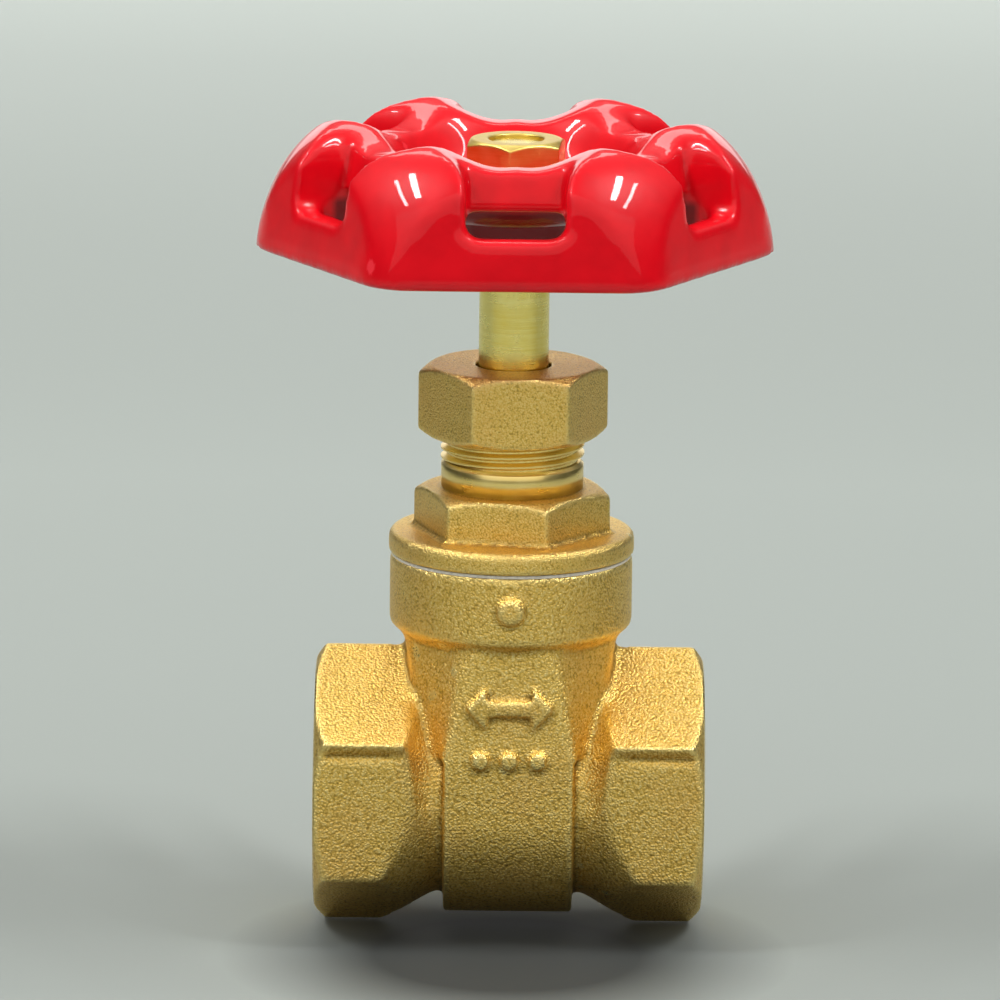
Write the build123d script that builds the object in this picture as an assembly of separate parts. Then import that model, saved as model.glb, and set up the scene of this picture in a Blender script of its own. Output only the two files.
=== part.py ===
from build123d import *
import os
from math import cos, radians, sqrt, tan

# Brass gate valve, DN 15, with a stem that turns but does not rise. Millimetres, +Z up.
# Origin: where the pipe axis (X) crosses the stem axis (Z). Drawn closed.

# Fits between pieces.
run_gap = 0.05  # turning or sliding pieces, on the radius or the face
seat_gap = 0.06  # wedge face to seat ring
thread_gap = 0.05  # a plain stand-in thread, on the radius
slip_gap = 0.1  # static pieces that drop in

# Body. The ends are hexagon bars, the waist holds the wedge, and the neck rises to a round collar.
body_length = 42.4
hex_length = 10.2  # along each end, above the parting line
under_hex_length = 7.1  # the same below it
end_chamfer = 1.2
shoulder_width = 2.4  # along the pipe, from the hexagon down to the barrel
under_shoulder_width = 6.3
port_wall = 3.0  # thread to hexagon flat
barrel_wall = 1.25  # thread to barrel
lip_height = 1.3  # cast lip along the front and back corners
lip_reach = 0.6
groove_radius = 0.55  # under the lip
groove_drop = 1.75
port_radius = 10.5  # clears the 20.955 mm major diameter of G 1/2
port_depth = 11.0
seat_bore_radius = 6.25
seat_ring_radius = 8.3
chamber_width = 14.1  # across the flat of the waist, outside
chamber_depth = 25.2
chamber_drop = 1.5  # how far the round bottom of the waist is centred below the pipe axis
chamber_wall = 1.7
chamber_end_wall = 2.6
neck_start = 5.5
neck_start_width = 18.6
neck_start_side = 16.6  # width of each side facet
neck_start_flat = 14.2  # width of the front and back flats
neck_middle = 12.0
neck_middle_width = 21.0
neck_middle_side = 13.4
neck_middle_flat = 11.6
neck_top_side = 8.6
neck_top_flat = 8.6
neck_lean = 0.6  # how far each flat leans in on its way up, twice
neck_start_edge = 0.9
neck_middle_edge = 2.4
neck_top_edge = 4.2
collar_top = 25.85
collar_height = 7.35
collar_taper = 1.2
collar_radius = 13.2
collar_wall = 2.2
collar_overhang = 1.35
collar_thread_length = 6.95
guide_rib_width = 2.0
guide_rib_stand = 1.6
guide_rib_bottom = -4.0
guide_rib_top = 17.5

# Marks cast on the body: a two-headed flow arrow and plain pips.
mark_stand = 0.7
arrow_length = 9.4
arrow_shaft = 1.6
arrow_head = 4.2  # across the barbs
arrow_height = 11.4
pip_radius = 0.95
pip_pitch = 3.1
pip_height = 5.6
collar_pip_radius = 1.4
collar_pip_height = 22.2

# Wedge.
wedge_radius = 7.4
wedge_thickness = 9.0  # at the pipe axis
wedge_taper = 3.0  # degrees, each face
wedge_boss_width = 8.9
wedge_boss_depth = 10.4
wedge_boss_top = 12.5
wedge_floor = 1.0
lug_width = 4.6
lug_gap = 0.9  # lug tip to the end of the chamber
lug_bottom = -4.5
lug_top = 4.0

# Stem.
stem_end = 7.7
stem_thread_radius = 3.2
stem_radius = 3.8
stem_collar_width = 2.6
stem_collar_height = 1.5
stem_shown = 13.35  # packing nut to handwheel hub
wheel_square = 5.4
wheel_thread_radius = 2.95
wheel_thread_length = 4.7

# Bonnet.
gasket_thickness = 0.3
gasket_inset = 0.15
flange_overhang = 0.15
flange_thickness = 2.45
flange_edge = 0.5
spigot_clearance = 0.3
stem_collar_lift = 3.0  # flange to stem collar
lock_ring_seat_lift = 0.35
lock_ring_margin = 1.1
lock_ring_height = 2.0
spigot_bore_margin = 0.7
thrust_washer_height = 0.5
bonnet_hex_shoulder = 1.65
bonnet_hex_height = 4.7
bonnet_hex_turn = -9.9
bonnet_hex_edge = 0.7
bonnet_relief = 0.35
bonnet_relief_height = 2.1
bonnet_thread_length = 7.6
packing_width = 2.1
packing_box_wall = 1.9
packing_box_depth = 8.8

# Packing and its nut.
packing_washer_height = 0.7
packing_ring_height = 2.2
packing_rings = 3
follower_gap = 0.4
follower_flange_height = 1.0
follower_inset = 0.6
nut_wall = 1.225
nut_height = 7.85
nut_engagement = 4.0
nut_turn = 5.2
nut_edge = 0.75
nut_hole_gap = 0.3

# Handwheel, drawn on its own with z = 0 at the bottom of the skirt.
wheel_flat_radius = 25.2
wheel_corner_radius = 6.5
wheel_draft = 8.0
wheel_wall = 2.6
lobe_inset = 6.9
lobe_top = 14.2
lobe_round = 4.1
lobes = 6
saddle_top = 11.8
pocket_width = 10.6
pocket_floor = 5.4
pocket_depth = 6.4
pocket_wall_lean = 0.24
pocket_corner = 1.6
pocket_side_wall = 2.2
window_top = 7.4
ledge_width = 3.8
ledge_underside = 3.0
dish_depth = 7.26
hub_radius = 6.5
hub_bottom = 0.96

# Handwheel nut, M6.
wheel_nut_flats = 10.0
wheel_nut_height = 5.1
wheel_nut_turn = -97.0
wheel_nut_edge = 0.5

# Body sizes that follow.
hex_across_flats = 2 * (port_radius + port_wall)
hex_corner_radius = hex_across_flats / sqrt(3)
hex_shoulder = body_length / 2 - hex_length
under_shoulder = body_length / 2 - under_hex_length
barrel_radius = port_radius + barrel_wall
neck_top_radius = collar_radius - collar_overhang
collar_bottom = collar_top - collar_height
collar_thread_radius = collar_radius - collar_wall
collar_thread_bottom = collar_top - collar_thread_length
chamber_end = chamber_depth / 2 - chamber_end_wall
lug_reach = chamber_end - lug_gap

# Bonnet and stem sizes that follow.
shaft_hole_radius = stem_radius + run_gap
stem_collar_radius = stem_radius + stem_collar_width
lock_ring_radius = stem_collar_radius + lock_ring_margin
spigot_bore_radius = lock_ring_radius + spigot_bore_margin
packing_box_radius = stem_radius + packing_width
bonnet_neck_radius = packing_box_radius + packing_box_wall
bonnet_hex_flats = 2 * (bonnet_neck_radius + bonnet_hex_shoulder)
flange_bottom = collar_top + gasket_thickness
flange_top = flange_bottom + flange_thickness
stem_collar_bottom = flange_bottom + stem_collar_lift
stem_collar_top = stem_collar_bottom + stem_collar_height
bonnet_shoulder = stem_collar_top + run_gap + thrust_washer_height
lower_washer_bottom = stem_collar_bottom - run_gap - thrust_washer_height
bonnet_hex_top = flange_top + bonnet_hex_height
bonnet_thread_bottom = bonnet_hex_top + bonnet_relief_height
bonnet_top = bonnet_thread_bottom + bonnet_thread_length
packing_box_bottom = bonnet_top - packing_box_depth
packing_bottom = packing_box_bottom + packing_washer_height
packing_top = packing_bottom + packing_rings * packing_ring_height
follower_flange_bottom = bonnet_top + follower_gap
follower_top = follower_flange_bottom + follower_flange_height
nut_flats = 2 * (bonnet_neck_radius + nut_wall)
nut_bottom = bonnet_top - nut_engagement
nut_top = nut_bottom + nut_height

# Handwheel places that follow.
hub_seat = nut_top + stem_shown
wheel_bottom = hub_seat - hub_bottom
hub_top = wheel_bottom + dish_depth
wheel_lobe_radius = wheel_flat_radius - lobe_inset
pocket_foot_radius = wheel_flat_radius - pocket_depth
ledge_inner_radius = wheel_flat_radius - ledge_width


def rod(radius, low, high):
    """Upright cylinder between two heights."""
    return Pos(0, 0, low) * Cylinder(radius, high - low, align=(Align.CENTER, Align.CENTER, Align.MIN))


def pipe(radius, low, high):
    """Cylinder about the pipe axis between two places along it."""
    return Pos(low, 0, 0) * Rot(0, 90, 0) * Cylinder(
        radius, high - low, align=(Align.CENTER, Align.CENTER, Align.MIN)
    )


def block(width, depth, low, high):
    """Upright box on the stem axis."""
    return Pos(0, 0, low) * Box(width, depth, high - low, align=(Align.CENTER, Align.CENTER, Align.MIN))


def ring(outer, inner, low, high):
    return rod(outer, low, high) - rod(inner, low, high)


def hexagon(flats, low, high, turn, edge_low, edge_high):
    """Hexagon bar whose corners are turned off at its ends."""
    plan = RegularPolygon(flats / 2, 6, major_radius=False, rotation=turn)
    bar = Pos(0, 0, low) * extrude(plan, high - low)
    corner = flats / sqrt(3)
    profile = Polyline(
        (0, low),
        (corner - 2 * edge_low, low),
        (corner + 0.1, low + edge_low * 1.15),
        (corner + 0.1, high - edge_high * 1.15),
        (corner - 2 * edge_high, high),
        (0, high),
        close=True,
    )
    return bar & revolve(make_face(Plane.XZ * profile), Axis.Z)


def wedge_half(height):
    """Half the wedge's thickness at a height above the pipe axis."""
    return wedge_thickness / 2 + height * tan(radians(wedge_taper))


def tapered_slab(low, high, gap=0.0):
    """Slab between the wedge's two leaning faces."""
    outline = Polyline(
        (-wedge_half(low) - gap, low),
        (wedge_half(low) + gap, low),
        (wedge_half(high) + gap, high),
        (-wedge_half(high) - gap, high),
        close=True,
    )
    return extrude(make_face(Plane.XZ * outline), body_length / 2, both=True)


def turned_body(shoulder, width, hollow):
    """Envelope of the ends and the barrel between them, turned about the pipe axis."""
    end = body_length / 2
    over = hex_corner_radius + 0.1
    fall = over - barrel_radius
    outline = Polyline(
        (0, barrel_radius),
        (0, 0),
        (end, 0),
        (end, hex_across_flats / 2),
        (end - end_chamfer, over),
        (shoulder, over),
    )
    slope = ThreePointArc(
        (shoulder, over),
        (shoulder - width / 2, barrel_radius + fall * (0.5 - hollow)),
        (shoulder - width, barrel_radius),
    )
    foot = Line((shoulder - width, barrel_radius), (0, barrel_radius))
    half = revolve(make_face(Plane.XZ * (outline + slope + foot)), Axis.X)
    return half + mirror(half, Plane.YZ)


def neck_section(height, width, depth, side, flat, edge):
    """Eight-sided section of the neck, with rounded corners."""
    right = [(flat / 2, -depth / 2), (width / 2, -side / 2), (width / 2, side / 2), (flat / 2, depth / 2)]
    left = [(-x, -y) for x, y in right]
    outline = make_face(Polyline(*right, *left, close=True))
    return Pos(0, 0, height) * fillet(outline.vertices(), edge)


def body_outside():
    bar = Plane.YZ * extrude(
        RegularPolygon(hex_across_flats / 2, 6, major_radius=False, rotation=30), body_length / 2, both=True
    )
    over = 2 * hex_corner_radius
    upper = turned_body(hex_shoulder, shoulder_width, 0.25) & block(body_length, over, 0, over)
    lower = turned_body(under_shoulder, under_shoulder_width, 0.04) & block(body_length, over, -over, 0)
    ends = bar & (upper + lower)

    waist = block(chamber_width, chamber_depth, -chamber_drop, neck_start)
    waist += Pos(0, 0, -chamber_drop) * pipe(chamber_depth / 2, -chamber_width / 2, chamber_width / 2)

    depth = chamber_depth - run_gap
    start = (neck_start_side, neck_start_flat, neck_start_edge)
    middle = (neck_middle_side, neck_middle_flat, neck_middle_edge)
    top = (neck_top_side, neck_top_flat, neck_top_edge)
    neck = loft(
        [
            neck_section(neck_start, neck_start_width, depth, *start),
            neck_section(neck_middle, neck_middle_width, depth - neck_lean, *middle),
            neck_section(collar_bottom, 2 * neck_top_radius, depth - 2 * neck_lean, *top),
        ]
    )

    taper = Polyline(
        (0, collar_bottom - collar_taper),
        (neck_top_radius, collar_bottom - collar_taper),
        (collar_radius, collar_bottom),
        (collar_radius, collar_top),
        (0, collar_top),
        close=True,
    )
    collar = revolve(make_face(Plane.XZ * taper), Axis.Z)

    flat = hex_across_flats / 2
    corner = hex_corner_radius / 2
    slope = tan(radians(30))
    section = Polyline(
        (flat - lip_reach, corner + lip_reach * slope),
        (flat + lip_reach, corner - lip_reach * slope),
        (flat, corner - lip_height),
        (flat - lip_reach, corner - lip_height),
        close=True,
    )
    start = hex_shoulder + 0.2
    reach = body_length / 2 - end_chamfer - start
    lip = Pos(start, 0, 0) * extrude(make_face(Plane.YZ * section), reach, dir=(1, 0, 0))
    lips = lip + mirror(lip, Plane.YZ)
    lips += mirror(lips, Plane.XZ)
    groove = Pos(0, flat + groove_radius / 3, corner - groove_drop) * pipe(groove_radius, start, start + reach)
    grooves = groove + mirror(groove, Plane.YZ)
    grooves += mirror(grooves, Plane.XZ)
    return ends + waist + neck + collar + lips - grooves


def marks():
    """Raised flow arrow and pips on the front of the body."""
    half = arrow_length / 2
    shaft = arrow_shaft / 2
    head = arrow_head / 2
    arrow = Polyline(
        (-half, 0),
        (-half + head, head),
        (-half + head, shaft),
        (half - head, shaft),
        (half - head, head),
        (half, 0),
        (half - head, -head),
        (half - head, -shaft),
        (-half + head, -shaft),
        (-half + head, -head),
        close=True,
    )
    front = -chamber_depth / 2
    root = 1.0
    sheet = Plane.XZ * Pos(0, arrow_height) * make_face(arrow)
    raised = Pos(0, front + neck_lean / 2 + root, 0) * extrude(sheet, root + mark_stand)
    pip = Rot(90, 0, 0) * Cylinder(pip_radius, 2 * mark_stand)
    for place in (-1, 0, 1):
        raised += Pos(place * pip_pitch, front, pip_height) * pip
    collar_pip = Rot(90, 0, 0) * Cylinder(collar_pip_radius, 2 * mark_stand)
    return raised + Pos(0, -collar_radius, collar_pip_height) * collar_pip


def make_valve_body():
    body = body_outside() + marks()
    inside_width = chamber_width - 2 * chamber_wall
    inside_depth = 2 * chamber_end
    slot = extrude(SlotOverall(inside_depth, inside_width, rotation=90), collar_thread_bottom + inside_depth)
    round_floor = Pos(0, 0, -chamber_drop) * pipe(inside_depth / 2, -inside_width, inside_width)
    round_floor += block(2 * inside_width, inside_depth, -chamber_drop, collar_thread_bottom)
    body -= (Pos(0, 0, -inside_depth) * slot) & round_floor
    body -= rod(collar_thread_radius, collar_thread_bottom, collar_top)

    seats = pipe(seat_ring_radius, -inside_width / 2 - 0.5, inside_width / 2 + 0.5)
    seats -= tapered_slab(-seat_ring_radius - 1, seat_ring_radius + 1, seat_gap)
    body += seats
    rib_root = 0.5
    for face in (-1, 1):
        y = face * (chamber_end - guide_rib_stand / 2 + rib_root / 2)
        rib = Box(
            guide_rib_width,
            guide_rib_stand + rib_root,
            guide_rib_top - guide_rib_bottom,
            align=(Align.CENTER, Align.CENTER, Align.MIN),
        )
        body += Pos(0, y, guide_rib_bottom) * rib

    end = body_length / 2
    body -= pipe(seat_bore_radius, -end, end)
    for low in (-end, end - port_depth):
        body -= pipe(port_radius, low, low + port_depth)
    return body


def make_wedge():
    disc = pipe(wedge_radius, -wedge_radius, wedge_radius) & tapered_slab(-wedge_radius, wedge_radius)
    boss = block(wedge_boss_width, wedge_boss_depth, 0, wedge_boss_top)
    lugs = block(lug_width, 2 * lug_reach, lug_bottom, lug_top)
    groove_floor = chamber_end - guide_rib_stand - 3 * run_gap
    for face in (-1, 1):
        y = face * (groove_floor + lug_reach / 2)
        lugs -= Pos(0, y, 0) * Box(guide_rib_width + 6 * run_gap, lug_reach, 4 * lug_reach)
    wedge = disc + boss + lugs
    return wedge - rod(stem_thread_radius + 2 * thread_gap, wedge_floor - wedge_radius, wedge_boss_top)


def make_stem():
    stem = rod(stem_thread_radius, stem_end, stem_collar_bottom)
    stem += rod(stem_collar_radius, stem_collar_bottom, stem_collar_top)
    stem += rod(stem_radius, stem_collar_top, hub_seat)
    stem += block(wheel_square, wheel_square, hub_seat, hub_top)
    stem += rod(wheel_thread_radius, hub_top, hub_top + wheel_thread_length)
    return chamfer(stem.edges().group_by(Axis.Z)[-1], 0.4)


def make_bonnet():
    flange = rod(collar_radius + flange_overhang, flange_bottom, flange_top)
    flange = chamfer(flange.edges().group_by(Axis.Z)[-1], flange_edge)
    root = flange_top - flange_edge
    nut = hexagon(bonnet_hex_flats, root, bonnet_hex_top, bonnet_hex_turn, 0, bonnet_hex_edge)
    spigot_bottom = collar_thread_bottom + spigot_clearance
    bonnet = flange + nut + rod(collar_thread_radius - thread_gap, spigot_bottom, flange_bottom)
    bonnet += rod(bonnet_neck_radius - bonnet_relief, bonnet_hex_top, bonnet_thread_bottom)
    thread = rod(bonnet_neck_radius, bonnet_thread_bottom, bonnet_top)
    bonnet += chamfer(thread.edges().group_by(Axis.Z)[-1], 0.5)
    lock_ring_seat = flange_bottom + lock_ring_seat_lift
    bonnet -= rod(spigot_bore_radius, spigot_bottom, lock_ring_seat)
    bonnet -= rod(lock_ring_radius + thread_gap, lock_ring_seat, bonnet_shoulder)
    bonnet -= rod(shaft_hole_radius, bonnet_shoulder, packing_box_bottom)
    return bonnet - rod(packing_box_radius, packing_box_bottom, bonnet_top)


def make_lock_ring():
    """Threaded ring under the stem collar, with two slots for a peg spanner."""
    bottom = lower_washer_bottom - lock_ring_height
    lock = ring(lock_ring_radius, stem_thread_radius + 3 * run_gap, bottom, lower_washer_bottom)
    return lock - block(2.2, 4 * lock_ring_radius, bottom, bottom + 0.8)


def thrust_washer(shaft_radius, low):
    outer = lock_ring_radius - slip_gap
    return ring(outer, shaft_radius + slip_gap, low, low + thrust_washer_height)


def make_follower():
    sleeve = rod(packing_box_radius - slip_gap, packing_top, follower_flange_bottom)
    follower = sleeve + rod(bonnet_neck_radius - follower_inset, follower_flange_bottom, follower_top)
    return follower - rod(shaft_hole_radius + run_gap, packing_top, follower_top)


def make_packing_nut():
    nut = hexagon(nut_flats, nut_bottom, nut_top, nut_turn, nut_edge, nut_edge)
    nut -= rod(bonnet_neck_radius + thread_gap, nut_bottom, follower_top)
    return nut - rod(stem_radius + nut_hole_gap, follower_top, nut_top)


def wheel_turning(outer_radius, top, dish):
    """Lobe section swept once round: skirt, crown and dish, with 1 mm to spare below."""
    crown = Spline(
        (outer_radius, 0),
        (outer_radius * 0.955, top * 0.39),
        (outer_radius * 0.86, top * 0.74),
        (wheel_lobe_radius, top),
        (wheel_lobe_radius * 0.78, top * 0.88),
        (wheel_lobe_radius * 0.6, dish + 0.4),
        (hub_radius, dish),
    )
    close = Polyline((hub_radius, dish), (0, dish), (0, -1), (outer_radius, -1), (outer_radius, 0))
    return revolve(make_face(Plane.XZ * (crown + close)), Axis.Z)


def wheel_outline(inset):
    """Hexagon skirt with round corners at the lobes and drafted sides."""
    flat = wheel_flat_radius - inset
    plan = RegularPolygon(flat, 6, major_radius=False, rotation=0)
    plan = fillet(plan.vertices(), max(wheel_corner_radius - inset, 0.5))
    return extrude(plan, 2 * lobe_top, taper=wheel_draft)


def pocket(width, foot_radius, floor):
    """Space outside a leaning wall and above a floor, between two lobes, on the +X side."""
    top = 2 * lobe_top
    outline = Polyline(
        (foot_radius - pocket_wall_lean * (top - floor), top),
        (foot_radius, floor),
        (2 * wheel_flat_radius, floor),
        (2 * wheel_flat_radius, top),
        close=True,
    )
    return extrude(make_face(Plane.XZ * outline), width / 2, both=True)


def along_scoop(half_outline, reach):
    """Cutter with the given half section, mirrored, that runs outwards along +X."""
    top = 2 * lobe_top
    start = half_outline @ 0
    end = half_outline @ 1
    close = Polyline((end.X, end.Y), (end.X, top), (0, top), (start.X, start.Y))
    half = extrude(make_face(Plane.YZ * (half_outline + close)), reach)
    return half + mirror(half, Plane.XZ)


def scoop_section():
    """Half of the scoop between two lobes: round at the floor, and rolled over the lobe at the top."""
    half = pocket_width / 2
    roll_start = lobe_top - lobe_round
    shallow = lobe_round * (1 - sqrt(0.5))
    foot = (half - pocket_corner, pocket_floor)
    floor = Line((0, pocket_floor), foot)
    corner = TangentArc(foot, (half, pocket_floor + pocket_corner), tangent=(1, 0))
    side = Line((half, pocket_floor + pocket_corner), (half, roll_start))
    roll = ThreePointArc(
        (half, roll_start),
        (half + shallow, lobe_top - shallow),
        (half + lobe_round, lobe_top),
    )
    return floor + corner + side + roll


def saddle_section():
    """Half of the dip in the rim between two lobes."""
    reach = pocket_width / 2 + lobe_round
    return Spline(
        (0, saddle_top),
        (0.37 * reach, saddle_top + 0.06),
        (0.67 * reach, (saddle_top + lobe_top) / 2),
        (reach, lobe_top + 0.05),
    )


def make_handwheel():
    corner = (wheel_flat_radius - wheel_corner_radius) / cos(radians(30)) + wheel_corner_radius
    shell = wheel_turning(corner + 0.05, lobe_top, dish_depth) & wheel_outline(0)
    hollow = wheel_turning(corner - wheel_wall, lobe_top - wheel_wall, dish_depth - wheel_wall)
    hollow &= wheel_outline(wheel_wall) + rod(wheel_flat_radius - wheel_wall, -1, 0)

    side_wall = pocket_width + 2 * pocket_side_wall
    backing = pocket(side_wall, pocket_foot_radius - wheel_wall, window_top)
    sides = block(2 * wheel_flat_radius, side_wall, ledge_underside, 2 * lobe_top)
    sides -= block(4 * wheel_flat_radius, pocket_width, 0, 3 * lobe_top)
    sides = Pos(wheel_flat_radius + pocket_foot_radius - wheel_wall, 0, 0) * sides
    ledge = block(2 * wheel_flat_radius, side_wall, ledge_underside, lobe_top)
    ledge = Pos(wheel_flat_radius + ledge_inner_radius, 0, 0) * ledge
    between_lobes = backing + sides + ledge

    scoop = along_scoop(scoop_section(), 2 * corner)
    scoop &= pocket(4 * pocket_width, pocket_foot_radius, pocket_floor)
    saddle = Pos(hub_radius + 2, 0, 0) * along_scoop(saddle_section(), 2 * corner)
    for lobe in range(lobes):
        turn = Rot(0, 0, 360 / lobes * (lobe + 0.5))
        hollow -= turn * between_lobes
    wheel = shell - hollow
    for lobe in range(lobes):
        turn = Rot(0, 0, 360 / lobes * (lobe + 0.5))
        wheel -= turn * scoop
        wheel -= turn * saddle
    wheel += rod(hub_radius, hub_bottom, dish_depth)
    wheel -= block(wheel_square + 2 * run_gap, wheel_square + 2 * run_gap, -1, dish_depth)
    wheel -= block(4 * corner, 4 * corner, -2, 0)
    return Pos(0, 0, wheel_bottom) * wheel


def make_handwheel_nut():
    top = hub_top + wheel_nut_height
    nut = hexagon(wheel_nut_flats, hub_top, top, wheel_nut_turn, 0.2, wheel_nut_edge)
    return nut - rod(wheel_thread_radius + thread_gap, hub_top, top)


os.makedirs("parts", exist_ok=True)
pieces = {
    "valve_body": make_valve_body(),
    "wedge": make_wedge(),
    "stem": make_stem(),
    "bonnet": make_bonnet(),
    "bonnet_gasket": ring(collar_radius - gasket_inset, collar_thread_radius, collar_top, flange_bottom),
    "stem_lock_ring": make_lock_ring(),
    "lower_thrust_washer": thrust_washer(stem_thread_radius, lower_washer_bottom),
    "upper_thrust_washer": thrust_washer(stem_radius, bonnet_shoulder - thrust_washer_height),
    "packing_washer": ring(
        packing_box_radius - slip_gap, stem_radius + slip_gap, packing_box_bottom, packing_bottom
    ),
    "gland_follower": make_follower(),
    "packing_nut": make_packing_nut(),
    "handwheel": make_handwheel(),
    "handwheel_nut": make_handwheel_nut(),
}
for index, name in enumerate(("lower_packing_ring", "middle_packing_ring", "upper_packing_ring")):
    low = packing_bottom + index * packing_ring_height
    pieces[name] = ring(packing_box_radius, shaft_hole_radius, low, low + packing_ring_height)

for name, shape in pieces.items():
    export_step(shape, f"parts/{name}.step")
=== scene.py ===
import bmesh
import bpy
import math
from mathutils import Matrix, Vector


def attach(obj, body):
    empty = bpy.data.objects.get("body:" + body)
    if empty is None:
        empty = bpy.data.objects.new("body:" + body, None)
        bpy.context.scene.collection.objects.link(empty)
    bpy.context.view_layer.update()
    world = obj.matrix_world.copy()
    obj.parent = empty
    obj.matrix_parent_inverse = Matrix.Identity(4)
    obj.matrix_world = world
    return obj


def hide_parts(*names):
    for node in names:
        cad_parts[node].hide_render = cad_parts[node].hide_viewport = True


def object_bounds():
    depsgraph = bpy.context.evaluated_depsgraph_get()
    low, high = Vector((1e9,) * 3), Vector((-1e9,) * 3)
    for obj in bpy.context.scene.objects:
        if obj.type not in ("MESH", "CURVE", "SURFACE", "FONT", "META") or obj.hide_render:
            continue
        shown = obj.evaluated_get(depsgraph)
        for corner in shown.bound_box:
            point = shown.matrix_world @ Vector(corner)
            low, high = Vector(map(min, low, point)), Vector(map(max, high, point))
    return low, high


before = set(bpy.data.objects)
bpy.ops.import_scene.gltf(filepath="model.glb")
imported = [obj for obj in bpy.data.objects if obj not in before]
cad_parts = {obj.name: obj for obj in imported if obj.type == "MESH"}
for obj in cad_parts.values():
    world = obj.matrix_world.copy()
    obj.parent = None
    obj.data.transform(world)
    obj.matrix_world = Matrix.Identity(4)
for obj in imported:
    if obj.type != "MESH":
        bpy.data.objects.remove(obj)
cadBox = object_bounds()
mm = 0.001

view = {
    "lookAt": (-1.3, 0.0, 31.7),
    "distance": 843.0,
    "elevation": 12.3,
    "roll": 0.68,
    "lens": 279.0,
}

stage = {
    "floorSize": 9000.0,
    "floorColour": (0.300, 0.328, 0.305),
    # distance behind the valve, and the floor's painted brightness there: painted shade near the valve,
    # painted light further off
    "paintedFloorShading": ((-420, 1.7), (-130, 1.4), (-30, 1.0), (60, 1.15), (230, 1.32), (600, 1.08)),
    # a painted shadow on the floor: a dark patch below the valve and in front of it
    "pool": {"middle": -14.0, "wide": 24.0, "deep": 24.0, "dark": 0.88},
    "skyTop": (0.98, 1.0, 0.98),
    "skyLow": (0.07, 0.08, 0.08),
    "skyStrength": 0.55,
    # heights between which the sky brightens
    "skyRise": (0.25, 0.8),
    "shadow": (0.01, 0.012, 0.014),
    "hazeSize": 160.0,
    "roughness": 0.7,
}

# name: position, size, watts, colour, the point that it is aimed at, its turn about that line, its cone
lamps = {
    "key": ((-50, 420, 560), (420, 90), 0.65, (1.0, 0.99, 0.96), (0, 0, 20), 0, 180),
    "farFloor": ((0, 950, 900), (2600, 700), 10.0, (1.0, 1.0, 0.99), (0, 950.1, 0), 0, 60),
    "backdrop": ((0, 1900, 330), (1300, 560), 3.4, (1.0, 1.0, 0.99), (0, 0, 60), 0, 180),
    "frontFill": ((0, -660, 490), (1900, 760), 3.9, (1.0, 0.98, 0.95), (0, 0, 20), 0, 180),
    "windowLeft": ((-330, -70, 560), (26, 230), 1.4, (1.0, 1.0, 1.0), (0, 0, 60), 62, 180),
    "windowLeftOuter": ((-395, -95, 520), (15, 230), 0.5, (1.0, 1.0, 1.0), (0, 0, 60), 62, 180),
    "windowRight": ((330, -70, 560), (26, 230), 1.4, (1.0, 1.0, 1.0), (0, 0, 60), -62, 180),
    "windowRightOuter": ((395, -95, 520), (15, 230), 0.5, (1.0, 1.0, 1.0), (0, 0, 60), -62, 180),
}


def addCamera():
    tilt = math.radians(view["elevation"])
    back = Vector((0, -math.cos(tilt), math.sin(tilt)))
    lens = bpy.data.cameras.new("camera")
    lens.lens = view["lens"]
    lens.sensor_width = 36.0
    lens.clip_start = 0.01
    lens.clip_end = 60.0
    camera = bpy.data.objects.new("camera", lens)
    bpy.context.scene.collection.objects.link(camera)
    camera.location = (Vector(view["lookAt"]) + back * view["distance"]) * mm
    level = (-back).to_track_quat("-Z", "Y").to_matrix().to_4x4()
    turn = level @ Matrix.Rotation(math.radians(view["roll"]), 4, "Z")
    camera.rotation_euler = turn.to_euler()
    bpy.context.scene.camera = camera


def addLamps():
    for name, (place, size, watts, colour, aim, turn, cone) in lamps.items():
        data = bpy.data.lights.new(name, "AREA")
        data.shape = "RECTANGLE"
        data.size = size[0] * mm
        data.size_y = size[1] * mm
        data.energy = watts
        data.color = colour
        data.spread = math.radians(cone)
        lamp = bpy.data.objects.new(name, data)
        bpy.context.scene.collection.objects.link(lamp)
        lamp.location = Vector(place) * mm
        facing = (Vector(aim) * mm - lamp.location).to_track_quat("-Z", "Y").to_matrix()
        lamp.rotation_euler = (facing @ Matrix.Rotation(math.radians(turn), 3, "Z")).to_euler()


# bright overhead and dim towards the horizon, so that what faces down stays dark
def addWorld():
    world = bpy.data.worlds.new("studio")
    world.use_nodes = True
    tree = world.node_tree
    background = tree.nodes["Background"]
    background.inputs["Strength"].default_value = stage["skyStrength"]
    direction = tree.nodes.new("ShaderNodeTexCoord")
    parts = tree.nodes.new("ShaderNodeSeparateXYZ")
    fade = tree.nodes.new("ShaderNodeValToRGB")
    fade.color_ramp.elements[0].position = stage["skyRise"][0]
    fade.color_ramp.elements[0].color = (*stage["skyLow"], 1)
    fade.color_ramp.elements[1].position = stage["skyRise"][1]
    fade.color_ramp.elements[1].color = (*stage["skyTop"], 1)
    tree.links.new(direction.outputs["Generated"], parts.inputs[0])
    tree.links.new(parts.outputs["Z"], fade.inputs["Fac"])
    tree.links.new(fade.outputs["Color"], background.inputs["Color"])
    bpy.context.scene.world = world
    bpy.context.scene.view_settings.view_transform = "Standard"


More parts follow.
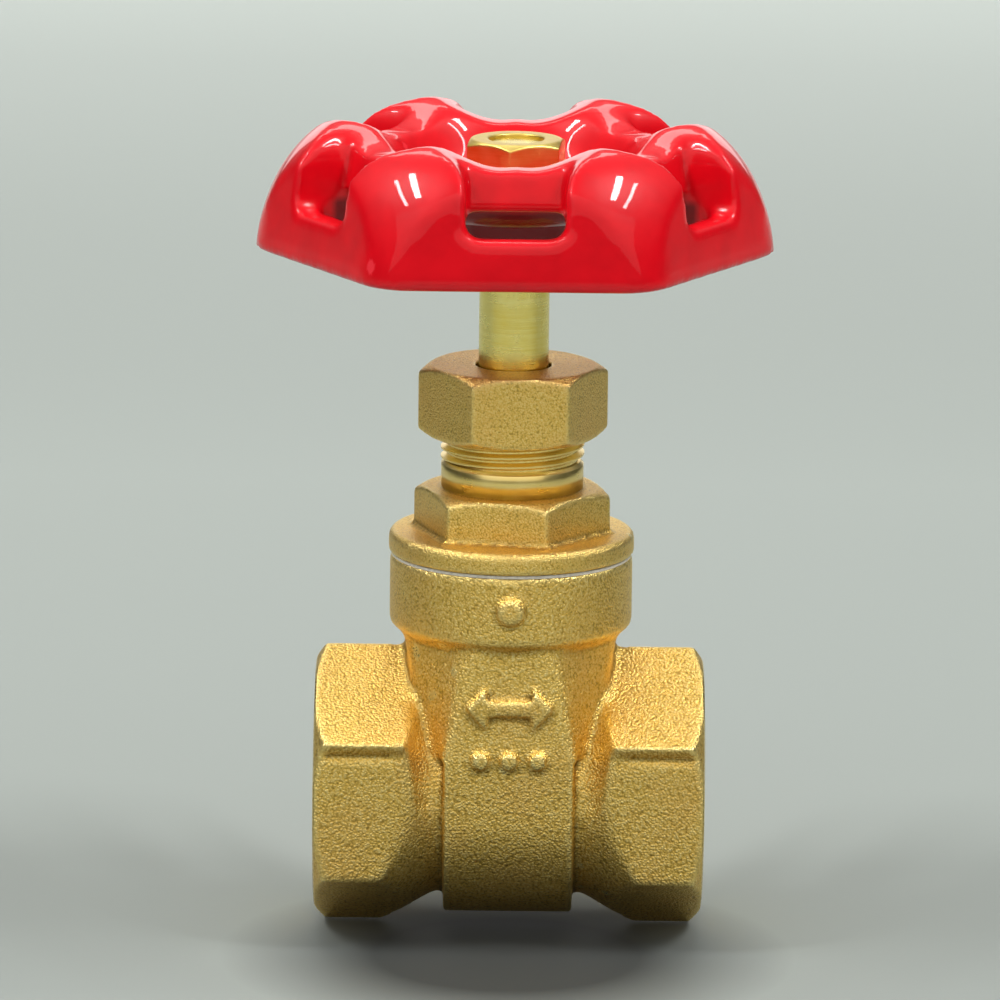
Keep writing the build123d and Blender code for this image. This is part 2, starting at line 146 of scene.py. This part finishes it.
class Wire:
    def __init__(self, finish, socket):
        self.finish = finish
        self.socket = socket

    def maths(self, operation, first, second):
        return self.finish.node("ShaderNodeMath", {"operation": operation}, {0: first, 1: second})

    def __add__(self, other):
        return self.maths("ADD", self, other)

    def __radd__(self, other):
        return self.maths("ADD", other, self)

    def __sub__(self, other):
        return self.maths("SUBTRACT", self, other)

    def __rsub__(self, other):
        return self.maths("SUBTRACT", other, self)

    def __mul__(self, other):
        return self.maths("MULTIPLY", self, other)

    def __rmul__(self, other):
        return self.maths("MULTIPLY", other, self)

    def __truediv__(self, other):
        return self.maths("DIVIDE", self, other)

    def __pow__(self, other):
        return self.maths("POWER", self, other)

    def __abs__(self):
        return self.maths("ABSOLUTE", self, 0.0)


class Finish:
    def __init__(self, name):
        self.material = bpy.data.materials.new(name)
        self.material.use_nodes = True
        self.tree = self.material.node_tree
        self.shader = self.tree.nodes["Principled BSDF"]
        self.place = self.node("ShaderNodeTexCoord", out="Object")

    def node(self, kind, settings=None, sockets=None, out=0):
        made = self.tree.nodes.new(kind)
        for key, value in (settings or {}).items():
            if key == "stops":
                ramp = made.color_ramp
                while len(ramp.elements) < len(value):
                    ramp.elements.new(0.5)
                for element, (position, colour) in zip(ramp.elements, value):
                    element.position = position
                    element.color = (*colour, 1)
            else:
                setattr(made, key, value)
        for key, value in (sockets or {}).items():
            if isinstance(value, Wire):
                self.tree.links.new(value.socket, made.inputs[key])
            else:
                made.inputs[key].default_value = value
        return Wire(self, made.outputs[out])

    def set(self, **sockets):
        for key, value in sockets.items():
            socket = self.shader.inputs[key.replace("_", " ")]
            if isinstance(value, Wire):
                self.tree.links.new(value.socket, socket)
            else:
                socket.default_value = value
        return self.material

    def axes(self):
        parts = self.tree.nodes.new("ShaderNodeSeparateXYZ")
        self.tree.links.new(self.place.socket, parts.inputs[0])
        return [Wire(self, parts.outputs[i]) / mm for i in range(3)]

    # size in millimetres of the pattern's features; stretch squeezes it along an axis
    def noise(self, size, detail=2.0, roughness=0.5, stretch=(1, 1, 1)):
        scale = tuple(s / (size * mm) for s in stretch)
        place = self.node("ShaderNodeMapping", {}, {"Vector": self.place, "Scale": scale})
        return self.node(
            "ShaderNodeTexNoise",
            {},
            {"Vector": place, "Scale": 1.0, "Detail": detail, "Roughness": roughness},
        )

    def cells(self, size, feature="F1", smooth=0.3):
        settings = {"feature": feature}
        sockets = {"Vector": self.place, "Scale": 1 / (size * mm)}
        if feature == "SMOOTH_F1":
            sockets["Smoothness"] = smooth
        return self.node("ShaderNodeTexVoronoi", settings, sockets, "Distance")

    def ramp(self, value, stops):
        return self.node("ShaderNodeValToRGB", {"stops": stops}, {"Fac": value})

    # straight line from low to high, held at 0 and 1
    def step(self, value, low, high):
        sockets = {"Value": value, "From Min": low, "From Max": high}
        return self.node("ShaderNodeMapRange", {"clamp": True}, sockets)

    def blend(self, factor, first, second):
        made = self.tree.nodes.new("ShaderNodeMix")
        made.data_type = "RGBA"
        for index, value in ((0, factor), (6, first), (7, second)):
            if isinstance(value, Wire):
                self.tree.links.new(value.socket, made.inputs[index])
            elif index == 0:
                made.inputs[index].default_value = value
            else:
                made.inputs[index].default_value = (*value, 1)
        return Wire(self, made.outputs[2])

    def bump(self, height, depth, strength):
        sockets = {"Height": height, "Distance": depth * mm, "Strength": strength}
        return self.node("ShaderNodeBump", {}, sockets)

    def edges(self):
        return self.node("ShaderNodeNewGeometry", out="Pointiness")


def reachFrom(first, second):
    return (first * first + second * second) ** 0.5


blasted = {
    "light": (0.95, 0.78, 0.33),
    "gold": (0.83, 0.54, 0.115),
    "shade": (0.52, 0.33, 0.07),
    "blush": (0.88, 0.50, 0.15),
    # colour of the painted shade in creases
    "paintedCreviceShade": (0.13, 0.075, 0.018),
    "grain": 0.28,
    "depth": 0.15,
    "roughness": 0.34,
    # how sharp an edge or a corner is where its wear starts and where it is full, and how deep a crease is
    # where its painted shade starts and where it is full
    "worn": (0.505, 0.56),
    "sunk": (0.493, 0.45),
}

machined = {
    "light": (0.97, 0.84, 0.30),
    "gold": (0.84, 0.64, 0.13),
    "warmLight": (0.96, 0.75, 0.30),
    "warmGold": (0.80, 0.54, 0.12),
    "roughness": 0.22,
    "worn": (0.51, 0.58),
}


# rough grainy brass as it leaves the blast cabinet; where smooth is 1 it has been machined
def blastedBrass(name, smooth=None, grain=1.0):
    finish = Finish(name)
    pebbles = finish.cells(blasted["grain"] * grain, "SMOOTH_F1", smooth=0.4)
    fine = finish.noise(0.16 * grain, 2.0, 0.65)
    mottle = finish.noise(0.34 * grain, 2.0, 0.6)
    cloud = finish.noise(7.0, 2.0, 0.5)
    height = (1 - pebbles) * 0.75 + fine * 0.45 + mottle * 0.3
    tone = finish.step((1 - pebbles) * 0.35 + mottle * 0.4 + fine * 0.35, 0.4, 0.78)
    colour = finish.ramp(tone, [(0.0, blasted["shade"]), (0.3, blasted["gold"]), (1.0, blasted["light"])])
    colour = finish.blend(finish.step(cloud, 0.45, 0.75) * 0.3, colour, blasted["blush"])
    worn = finish.step(finish.edges(), *blasted["worn"])
    colour = finish.blend(worn * 0.75, colour, blasted["light"])
    # painted shade: creases and hollow corners are darkened
    sunk = finish.step(finish.edges(), *blasted["sunk"])
    colour = finish.blend(sunk * 0.8, colour, blasted["paintedCreviceShade"])
    roughness = blasted["roughness"] + tone * 0.16 - worn * 0.1
    normal = finish.bump(height, blasted["depth"] * grain, 0.9)
    if smooth:
        mask = smooth(finish)
        rings = finish.noise(0.25, 2.0, 0.5)
        clean = finish.ramp(rings, [(0.3, machined["warmGold"]), (0.7, machined["warmLight"])])
        colour = finish.blend(mask, colour, clean)
        roughness = roughness * (1 - mask) + mask * machined["roughness"]
        normal = finish.bump(height * (1 - mask) + rings * mask * 0.15, blasted["depth"] * grain, 0.9)
    return finish.set(Base_Color=colour, Metallic=1.0, Roughness=roughness, Normal=normal)


# lathe-turned brass: fine rings square to the axis that it was turned on
def turnedBrass(name, axis=2, tint=(1, 1, 1), pitch=0.12, roughness=0.2):
    finish = Finish(name)
    stretch = [0.02, 0.02, 0.02]
    stretch[axis] = 1.0
    rings = finish.noise(pitch, 3.0, 0.7, tuple(stretch))
    smear = finish.noise(2.5, 2.0, 0.55)
    light = tuple(a * b for a, b in zip(machined["light"], tint))
    gold = tuple(a * b for a, b in zip(machined["gold"], tint))
    colour = finish.ramp(finish.step(rings * 0.5 + smear * 0.5, 0.35, 0.65), [(0.0, gold), (1.0, light)])
    worn = finish.step(finish.edges(), *machined["worn"])
    colour = finish.blend(worn * 0.5, colour, light)
    rough = roughness + smear * 0.14 + rings * 0.06
    return finish.set(Base_Color=colour, Metallic=1.0, Roughness=rough, Normal=finish.bump(rings, 0.012, 0.7))


enamel = {
    "deep": (0.36, 0.001, 0.004),
    # colour of the painted shade inside and under the wheel
    "inside": (0.13, 0.001, 0.003),
    "insideTop": 66.0,
    "insideReach": 20.5,
    "insideFade": 0.8,
    "red": (0.76, 0.0025, 0.010),
    # lighter edge colour: partly thinner enamel, partly a painted highlight
    "thinAndHighlight": (0.98, 0.05, 0.07),
    "ripple": 3.2,
    "roughness": 0.3,
    "specular": 0.1,
    "coat": 0.65,
    "coatRoughness": 0.03,
    "coatIor": 1.37,
    # where the darkening in hollows starts and where it is full: partly pooled enamel, partly painted shade
    "pooledAndShaded": (0.497, 0.44),
    "thinnedAndHighlit": (0.515, 0.6),
}


# thick dipped enamel: darker in hollows, partly where it pools and partly as painted shade; darker inside and
# under the wheel as painted shade; lighter over an edge, partly where it thins and partly as a painted
# highlight
def redEnamel(name):
    finish = Finish(name)
    ripple = finish.noise(enamel["ripple"], 2.0, 0.45)
    skin = finish.noise(0.7, 2.0, 0.5)
    # darker in hollows: partly pooled enamel, partly painted shade
    pooledAndShaded = finish.step(finish.edges(), *enamel["pooledAndShaded"])
    # lighter over edges: partly thinner enamel, partly a painted highlight
    thinAndHighlight = finish.step(finish.edges(), *enamel["thinnedAndHighlit"])
    colour = finish.blend(finish.step(ripple, 0.3, 0.7) * 0.25, enamel["red"], enamel["deep"])
    colour = finish.blend(pooledAndShaded * 0.7, colour, enamel["deep"])
    colour = finish.blend(thinAndHighlight * 0.6, colour, enamel["thinAndHighlight"])
    x, y, z = finish.axes()
    reach = reachFrom(x, y)
    top, wide, fade = enamel["insideTop"], enamel["insideReach"], enamel["insideFade"]
    # painted shade: the enamel inside and under the wheel is darkened
    inside = finish.step(z, top, top - fade) * finish.step(reach, wide, wide - fade)
    colour = finish.blend(inside * 0.85, colour, enamel["inside"])
    height = ripple + skin * 0.08
    return finish.set(
        Base_Color=colour,
        Roughness=enamel["roughness"] + skin * 0.05,
        Specular_IOR_Level=enamel["specular"],
        Coat_Weight=enamel["coat"],
        Coat_Roughness=enamel["coatRoughness"],
        Coat_IOR=enamel["coatIor"],
        Normal=finish.bump(height, 0.10, 0.5),
    )


whitePlastic = {"low": (0.80, 0.80, 0.77), "high": (0.92, 0.92, 0.90), "roughness": 0.35}


def fluoropolymer(name):
    finish = Finish(name)
    haze = finish.noise(1.2, 3.0, 0.6)
    rings = finish.noise(0.15, 2.0, 0.5, (0.03, 0.03, 1.0))
    colour = finish.ramp(haze, [(0.3, whitePlastic["low"]), (0.7, whitePlastic["high"])])
    return finish.set(
        Base_Color=colour,
        Roughness=whitePlastic["roughness"] + haze * 0.15,
        Normal=finish.bump(rings + haze * 0.5, 0.015, 0.6),
    )


fibre = {"low": (0.52, 0.47, 0.40), "high": (0.80, 0.75, 0.66), "roughness": 0.8, "depth": 0.05}


def fibreSheet(name):
    finish = Finish(name)
    fibres = finish.noise(0.3, 4.0, 0.7)
    clumps = finish.cells(0.6)
    colour = finish.ramp(fibres * 0.7 + clumps * 0.3, [(0.25, fibre["low"]), (0.7, fibre["high"])])
    normal = finish.bump(fibres + clumps * 0.4, fibre["depth"], 0.8)
    return finish.set(Base_Color=colour, Roughness=fibre["roughness"], Normal=normal)


# where the castings have been machined, as pairs between which the finish changes
cutFaces = {
    "pipeEnd": (21.0, 21.12),
    "portBore": (10.75, 10.6),
    "portFloor": (9.0, 9.3),
    "neckFoot": (33.35, 33.6),
    "neckReach": (8.3, 8.1),
    "nutBore": (8.1, 7.95),
    "nutTop": (46.7, 46.6),
}


# the pipe ends and everything inside the ports
def portFaces(finish):
    x, y, z = finish.axes()
    face = finish.step(abs(x), *cutFaces["pipeEnd"])
    inside = finish.step(reachFrom(y, z), *cutFaces["portBore"]) * finish.step(abs(x), *cutFaces["portFloor"])
    return 1 - (1 - face) * (1 - inside)


# the bonnet's neck and bores
def turnedNeck(finish):
    x, y, z = finish.axes()
    return finish.step(z, *cutFaces["neckFoot"]) * finish.step(reachFrom(x, y), *cutFaces["neckReach"])


# inside and seat of the packing nut
def nutBore(finish):
    x, y, z = finish.axes()
    return finish.step(reachFrom(x, y), *cutFaces["nutBore"]) * finish.step(z, *cutFaces["nutTop"])


def newPiece(name, mesh, body, material):
    piece = bpy.data.objects.new(name, mesh)
    bpy.context.scene.collection.objects.link(piece)
    mesh.materials.clear()
    mesh.materials.append(material)
    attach(piece, body)
    return piece


def fromBmesh(name, shape):
    mesh = bpy.data.meshes.new(name)
    shape.to_mesh(mesh)
    shape.free()
    return mesh


def nodeCopy(nodeName):
    shape = bmesh.new()
    shape.from_mesh(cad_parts[nodeName].data)
    bmesh.ops.remove_doubles(shape, verts=shape.verts, dist=0.002 * mm)
    return shape


# remeshed at one cell size, then eased so that every edge is round
def eased(mesh, cell, rounds, soften=None):
    work = bpy.data.objects.new("work", mesh)
    bpy.context.scene.collection.objects.link(work)
    melt = work.modifiers.new("melt", "REMESH")
    melt.mode = "VOXEL"
    melt.voxel_size = cell * mm
    ease = work.modifiers.new("ease", "SMOOTH")
    ease.iterations = rounds
    ease.factor = 0.5
    graph = bpy.context.evaluated_depsgraph_get()
    made = bpy.data.meshes.new_from_object(work.evaluated_get(graph))
    bpy.data.objects.remove(work)
    if soften:
        soften(made)
    for polygon in made.polygons:
        polygon.use_smooth = True
    print("  eased", mesh.name, len(made.polygons), "faces")
    return made


def easedNode(nodeName, name, cell, rounds, body, material, change=None, soften=None):
    shape = nodeCopy(nodeName)
    if change:
        change(shape)
    mesh = eased(fromBmesh(name, shape), cell, rounds, soften)
    piece = newPiece(name, mesh, body, material)
    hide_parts(nodeName)
    return piece


# closed ring or bar: outline of (radius, place along the axis) swept round Z
def turned(outline, sides=96):
    shape = bmesh.new()
    points = [shape.verts.new((r * mm, 0, z * mm)) for r, z in outline]
    edges = [shape.edges.new((a, b)) for a, b in zip(points, points[1:] + points[:1])]
    bmesh.ops.spin(
        shape,
        geom=points + edges,
        cent=(0, 0, 0),
        axis=(0, 0, 1),
        angle=2 * math.pi,
        steps=sides,
        use_merge=True,
    )
    bmesh.ops.remove_doubles(shape, verts=shape.verts, dist=0.001 * mm)
    bmesh.ops.recalc_face_normals(shape, faces=shape.faces)
    return shape


# right-hand screw ridge round Z; tip is its crest radius
def threadRidge(root, tip, pitch, low, high, sides=64):
    turns = (high - low) / pitch
    wide = 0.46 * pitch
    narrow = 0.09 * pitch
    shape = bmesh.new()
    profile = [(root, -wide), (tip, -narrow), (tip, narrow), (root, wide)]
    points = [shape.verts.new((r * mm, 0, (low + z) * mm)) for r, z in profile]
    edges = [shape.edges.new((a, b)) for a, b in zip(points, points[1:] + points[:1])]
    steps = round(turns * sides)
    bmesh.ops.spin(
        shape,
        geom=points + edges,
        cent=(0, 0, 0),
        axis=(0, 0, 1),
        dvec=(0, 0, pitch / sides * mm),
        angle=2 * math.pi * turns,
        steps=steps,
        use_merge=False,
    )
    ends = [e for e in shape.edges if e.is_boundary]
    bmesh.ops.holes_fill(shape, edges=ends, sides=4)
    bmesh.ops.recalc_face_normals(shape, faces=shape.faces)
    return shape


bodyPiece = {
    "cell": 0.34,
    "rounds": 3,
    # more rounds where the neck and the shoulders run into each other, outside the barrel
    "fillet": 14,
    "filletInner": 7.4,
    "filletOuter": 12.8,
    "filletTop": 17.0,
    "barrel": 11.6,
    "neckFoot": 12.0,
}
portThread = {
    "root": 10.55,
    "crest": 9.35,
    "pitch": 1.814,
    "mouth": 21.2,
    "depth": 9.6,
    "runOut": 0.4,
    "lead": 1.1,
}


def buildBody():
    def fillCorners(mesh):
        shape = bmesh.new()
        shape.from_mesh(mesh)
        soft = []
        for vert in shape.verts:
            x, y, z = abs(vert.co.x) / mm, vert.co.y / mm, vert.co.z / mm
            outside = math.hypot(y, z) > bodyPiece["barrel"] or z > bodyPiece["neckFoot"]
            between = bodyPiece["filletInner"] < x < bodyPiece["filletOuter"]
            if between and outside and z < bodyPiece["filletTop"]:
                soft.append(vert)
        every = {"use_axis_x": True, "use_axis_y": True, "use_axis_z": True}
        for _ in range(bodyPiece["fillet"]):
            bmesh.ops.smooth_vert(shape, verts=soft, factor=0.5, **every)
        shape.to_mesh(mesh)
        shape.free()

    material = blastedBrass("castBrass", portFaces)
    easedNode(
        "valve_body",
        "bodyCasting",
        bodyPiece["cell"],
        bodyPiece["rounds"],
        "housing",
        material,
        soften=fillCorners,
    )
    thread = turnedBrass("portThreadBrass", axis=0)
    for side, name in ((-1, "portThreadLeft"), (1, "portThreadRight")):
        low = portThread["mouth"] - portThread["depth"] - portThread["runOut"]
        high = portThread["mouth"] - portThread["lead"]
        shape = threadRidge(portThread["root"], portThread["crest"], portThread["pitch"], low, high)
        bmesh.ops.rotate(
            shape, verts=shape.verts, cent=(0, 0, 0), matrix=Matrix.Rotation(side * math.pi / 2, 3, "Y")
        )
        newPiece(name, fromBmesh(name, shape), "housing", thread)
    print("body done")


bonnetPiece = {"cell": 0.3, "rounds": 3, "neckFoot": 35.3, "spigot": 7.0, "grain": 0.75}
neckThread = {"root": 7.15, "crest": 7.8, "pitch": 1.0, "low": 36.4, "high": 42.4, "sunk": 0.1}
neckTint = (0.98, 0.88, 0.95)
# plain band of the neck below its thread
neckLand = {"root": 7.0, "reach": 7.74, "low": 33.4, "high": 36.3, "bevel": 0.35}


def buildBonnet():
    def cutNeck(shape):
        for vert in shape.verts:
            reach = math.hypot(vert.co.x, vert.co.y)
            if vert.co.z > bonnetPiece["neckFoot"] * mm and reach > bonnetPiece["spigot"] * mm:
                vert.co.x *= neckThread["root"] * mm / reach
                vert.co.y *= neckThread["root"] * mm / reach

    material = blastedBrass("forgedBrass", turnedNeck, bonnetPiece["grain"])
    easedNode(
        "bonnet",
        "bonnetForging",
        bonnetPiece["cell"],
        bonnetPiece["rounds"],
        "housing",
        material,
        cutNeck,
    )
    shape = threadRidge(
        neckThread["root"] - neckThread["sunk"],
        neckThread["crest"],
        neckThread["pitch"],
        neckThread["low"],
        neckThread["high"],
    )
    bmesh.ops.rotate(shape, verts=shape.verts, cent=(0, 0, 0), matrix=Matrix.Rotation(math.pi / 2, 3, "Z"))
    thread = turnedBrass("neckThreadBrass", pitch=0.2, tint=neckTint)
    newPiece("neckThread", fromBmesh("neckThread", shape), "housing", thread)
    low, high, root, reach, bevel = (neckLand[key] for key in ("low", "high", "root", "reach", "bevel"))
    outline = [(root, low), (reach, low), (reach, high - bevel), (reach - bevel, high), (root, high)]
    mesh = fromBmesh("neckLand", turned(outline))
    for polygon in mesh.polygons:
        polygon.use_smooth = abs(polygon.normal.z) < 0.2
    newPiece("neckLand", mesh, "housing", thread)
    print("bonnet done")


nutPiece = {"cell": 0.26, "rounds": 4, "grain": 0.75}


def buildPackingNut():
    material = blastedBrass("forgedNutBrass", nutBore, nutPiece["grain"])
    easedNode(
        "packing_nut",
        "packingNutForging",
        nutPiece["cell"],
        nutPiece["rounds"],
        "housing",
        material,
    )
    print("packing nut done")


wheelPiece = {"cell": 0.4, "rounds": 17}
wheelNutPiece = {"cell": 0.12, "rounds": 4, "tint": (0.92, 0.82, 0.72)}


def buildWheel():
    cell, rounds = wheelPiece["cell"], wheelPiece["rounds"]
    easedNode("handwheel", "wheelCasting", cell, rounds, "spindle", redEnamel("redEnamel"))
    bright = turnedBrass("brightBrass", tint=wheelNutPiece["tint"], pitch=0.3, roughness=0.26)
    cell, rounds = wheelNutPiece["cell"], wheelNutPiece["rounds"]
    easedNode("handwheel_nut", "wheelNut", cell, rounds, "spindle", bright)
    print("handwheel done")


# CAD pieces whose shape is already right only get their finish
def finishNodes():
    ptfe = fluoropolymer("whitePtfe")
    plain = turnedBrass("machinedBrass")
    spindle = turnedBrass("turnedBrass", pitch=0.18, roughness=0.16)
    finishes = {
        "stem": spindle,
        "wedge": plain,
        "stem_lock_ring": plain,
        "gland_follower": plain,
        "packing_washer": plain,
        "bonnet_gasket": fibreSheet("greyFibre"),
        "lower_thrust_washer": ptfe,
        "upper_thrust_washer": ptfe,
        "lower_packing_ring": ptfe,
        "middle_packing_ring": ptfe,
        "upper_packing_ring": ptfe,
    }
    for nodeName, material in finishes.items():
        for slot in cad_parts[nodeName].material_slots:
            slot.material = material
    print("inner pieces finished")


def addFloor():
    shape = bmesh.new()
    half = stage["floorSize"] / 2 * mm
    bmesh.ops.create_grid(shape, x_segments=1, y_segments=1, size=half)
    bmesh.ops.translate(shape, verts=shape.verts, vec=(0, 0, cadBox[0].z))
    finish = Finish("paleFloor")
    haze = finish.noise(stage["hazeSize"], 2.0, 0.5)
    x, y, z = finish.axes()
    pool = stage["pool"]
    # painted light and shade across the floor, darkest near the valve
    paintedShading = stage["paintedFloorShading"]
    near, far = paintedShading[0][0], paintedShading[-1][0]
    stops = []
    for at, level in paintedShading:
        stops.append(((at - near) / (far - near), tuple(c * level for c in stage["floorColour"])))
    colour = finish.ramp(finish.step(y, near, far), stops)
    # painted shadow: the floor is darkened below the valve and in front of it
    away = reachFrom(x / pool["wide"], (y - pool["middle"]) / pool["deep"])
    shadow = 1 - finish.step(away, 0.6, 1.3)
    colour = finish.blend(shadow * pool["dark"] + haze * 0.03, colour, stage["shadow"])
    mesh = fromBmesh("floor", shape)
    mesh.materials.append(finish.set(Base_Color=colour, Roughness=stage["roughness"]))
    floor = bpy.data.objects.new("floor", mesh)
    bpy.context.scene.collection.objects.link(floor)


addCamera()
addLamps()
addWorld()
addFloor()
buildBody()
buildBonnet()
buildPackingNut()
buildWheel()
finishNodes()
